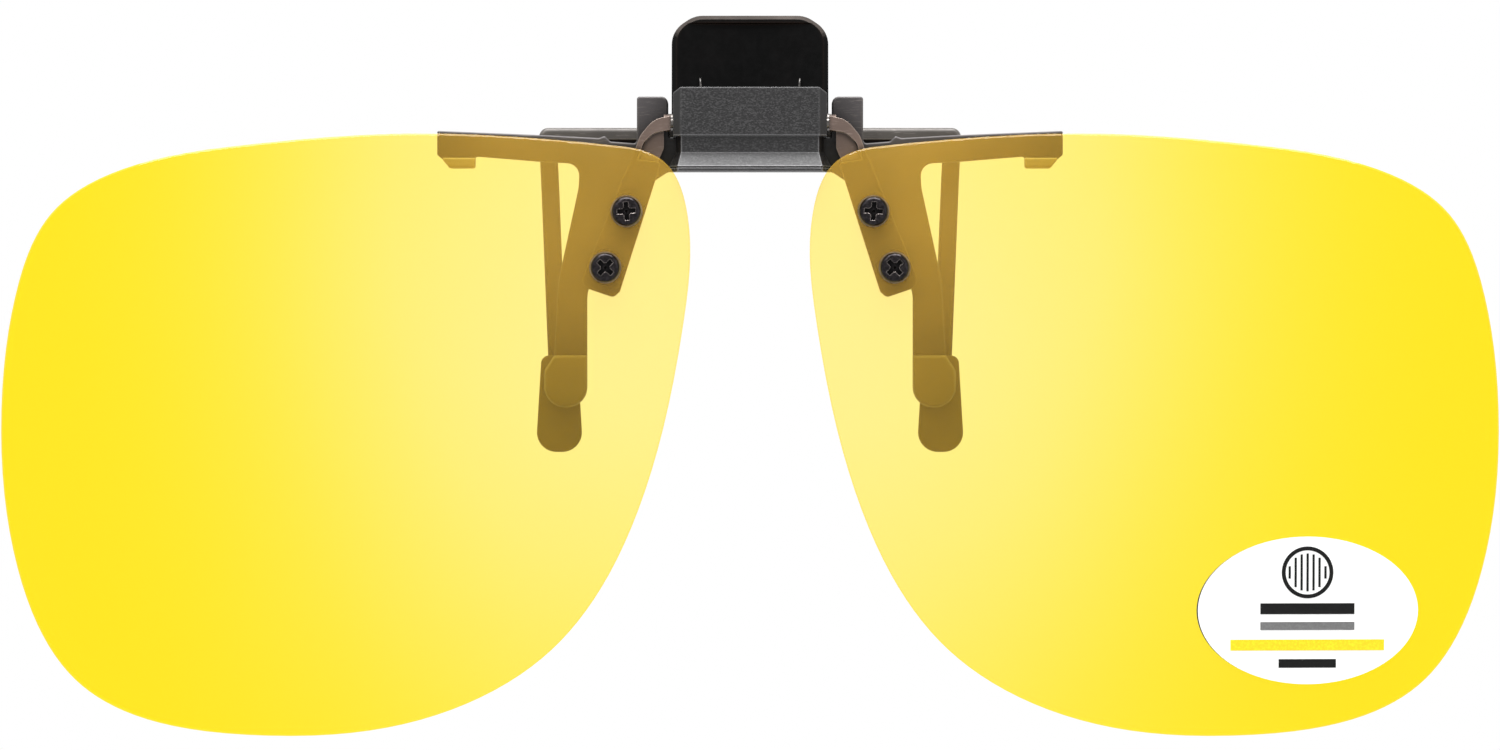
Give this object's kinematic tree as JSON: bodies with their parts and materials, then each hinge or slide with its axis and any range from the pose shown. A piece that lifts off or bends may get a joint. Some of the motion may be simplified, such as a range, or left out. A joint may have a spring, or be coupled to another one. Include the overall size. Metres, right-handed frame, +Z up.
{
  "type": "clip on flip lenses",
  "caption": "Yellow tinted lenses on a spring squeeze clip; they clamp over spectacles and flip up on a hinge axle above the bridge.",
  "frame": {"origin": "middle of the clamping gap between the front jaw and the rear arms, on the middle plane, level with the brow arms' undersides", "axes": "+X to the right as the lenses are seen from the front, +Y from the lenses towards the wearer, +Z up"},
  "size_m": [0.13, 0.0122, 0.0626],
  "materials": {
    "lens_tint": "polished transparent yellow polarised sheet",
    "bracket_metal": "dark gunmetal plate",
    "screw_black": "gloss black oxide",
    "washer_clear": "clear nylon",
    "axle_steel": "turned steel",
    "sticker_film": "white printed film",
    "housing_nylon": "fine spark-textured nylon",
    "jaw_nylon": "fine spark-textured nylon",
    "soft_pad": "soft dark grey sleeve",
    "tip_pad": "soft pale grey rest",
    "spring_steel": "drawn spring wire",
    "tab_plastic": "black moulded plastic",
    "rear_arm_metal": "dark gunmetal rod"
  },
  "bodies": {
    "front_clip": {"front_jaw": "jaw_nylon", "housing_base": "housing_nylon", "housing_cover": "housing_nylon", "jaw_pivot_pin": "axle_steel", "detent_spring": "spring_steel", "clip_spring_left": "spring_steel", "clip_spring_right": "spring_steel", "front_pad_left": "soft_pad", "front_pad_right": "soft_pad", "arm_tip_pad_left": "tip_pad", "arm_tip_pad_right": "tip_pad"},
    "rear_clip": {"thumb_tab": "tab_plastic", "rear_arm_left": "rear_arm_metal", "rear_arm_right": "rear_arm_metal", "paddle_pad_left": "soft_pad", "paddle_pad_right": "soft_pad"},
    "lens_flip": {"flip_axle": "axle_steel", "lens_left": "lens_tint", "lens_right": "lens_tint", "lens_bracket_left": "bracket_metal", "lens_bracket_right": "bracket_metal", "lens_screws_left": "screw_black", "lens_screws_right": "screw_black", "lens_washers_left": "washer_clear", "lens_washers_right": "washer_clear", "lens_nuts_left": "screw_black", "lens_nuts_right": "screw_black", "lens_sticker": "sticker_film"}
  },
  "joints": [
    {"name": "lens_flip", "type": "hinge", "parent": "front_clip", "child": "lens_flip", "pos_m": [0, -0.005, 0.0036], "axis": [-1, 0, 0], "range_deg": [0, 95]},
    {"name": "jaw_squeeze", "type": "hinge", "parent": "front_clip", "child": "rear_clip", "pos_m": [0, -0.0012, 0.0039], "axis": [1, 0, 0], "range_deg": [0, 18], "stiffness_Nm_per_rad": 0.08, "springref_deg": -28.65, "deforming": ["clip_spring_left", "clip_spring_right"]}
  ]
}
